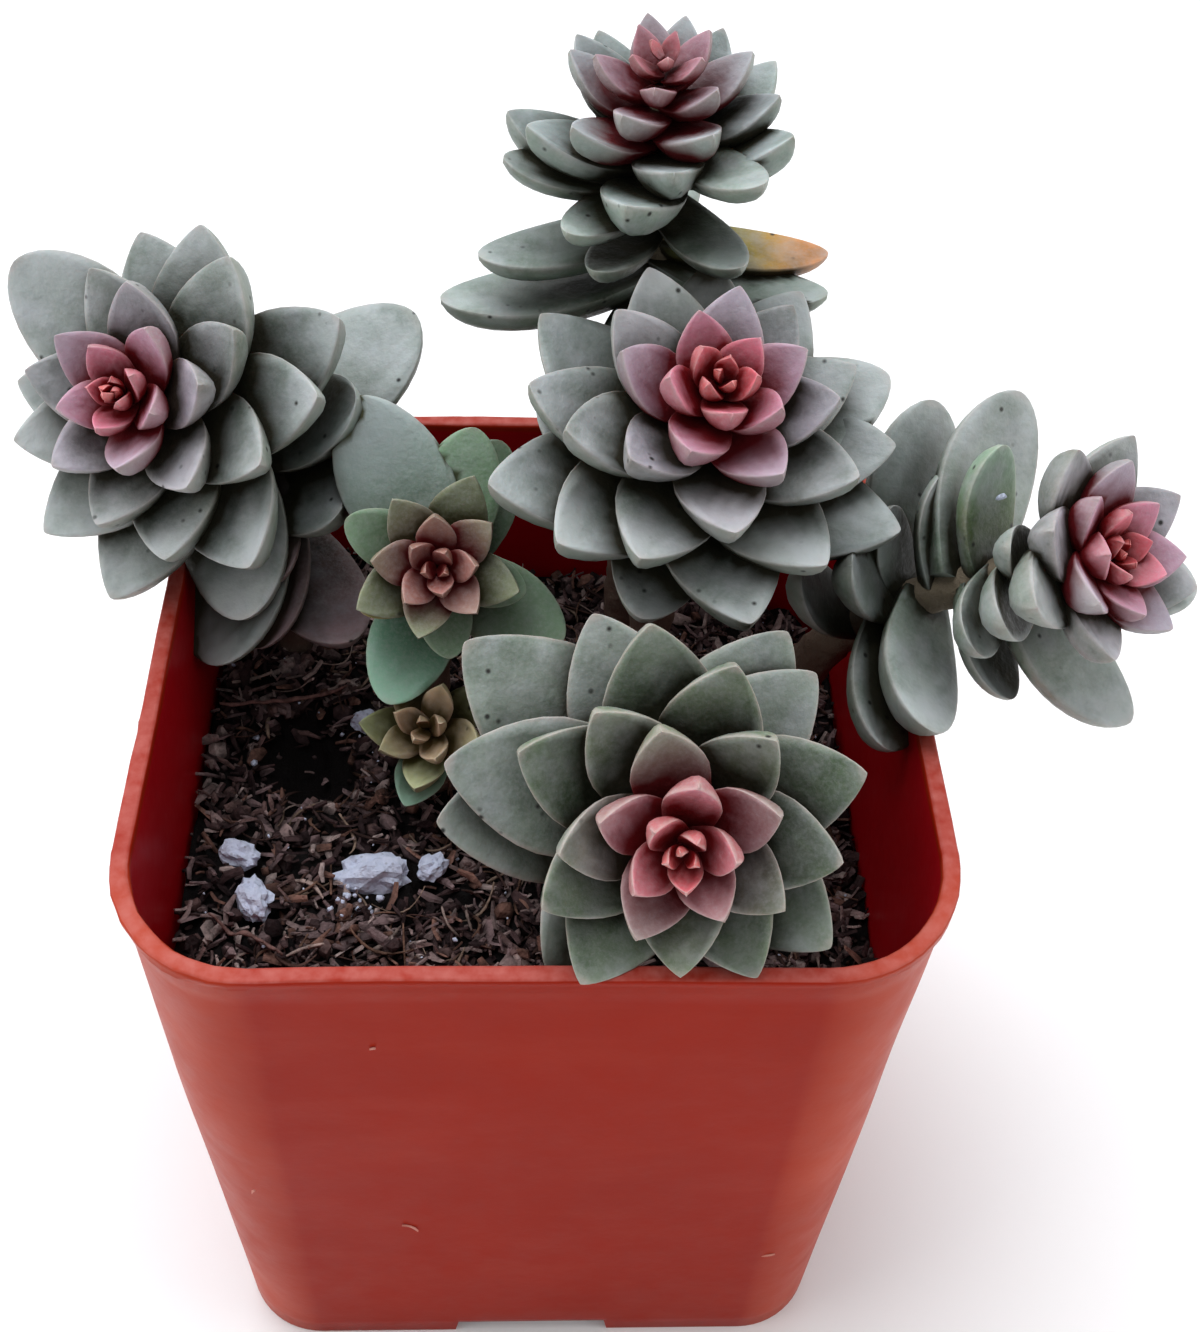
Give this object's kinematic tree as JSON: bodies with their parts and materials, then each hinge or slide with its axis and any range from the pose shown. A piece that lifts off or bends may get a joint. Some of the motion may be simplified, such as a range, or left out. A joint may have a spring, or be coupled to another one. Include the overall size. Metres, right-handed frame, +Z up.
{
  "type": "potted succulent",
  "caption": "Small succulent with leafy stems that each end in a pink-hearted rosette, growing in a tapered square nursery pot with a thin lip and notched foot.",
  "frame": {"origin": "middle of the whole plant's footprint, at the height of the pot's foot; the middle of the pot's foot lies 3.0 mm towards -X and 4.0 mm towards -Y of it", "axes": "+Z up along the pot's height, +X to the right and -Y towards the viewer as the pot's front is seen"},
  "size_m": [0.0813, 0.0651, 0.0923],
  "materials": {
    "pot": "satin",
    "soil": "matte",
    "perlite": "matte",
    "leaf": "matte",
    "young_leaf": "matte",
    "heart_leaf": "matte"
  },
  "bodies": {
    "root": {"pot": "pot", "soil": "soil", "perlite_1": "perlite", "perlite_2": "perlite", "perlite_3": "perlite", "perlite_4": "perlite", "perlite_5": "perlite", "heart_top": "heart_leaf", "heart_centre": "heart_leaf", "heart_left": "heart_leaf", "heart_right": "heart_leaf", "heart_front": "heart_leaf", "heart_small": "heart_leaf", "shoot_top": "leaf", "shoot_centre": "leaf", "shoot_left": "leaf", "shoot_right": "leaf", "shoot_front": "leaf", "shoot_small": "young_leaf", "shoot_tiny": "young_leaf"}
  },
  "joints": []
}
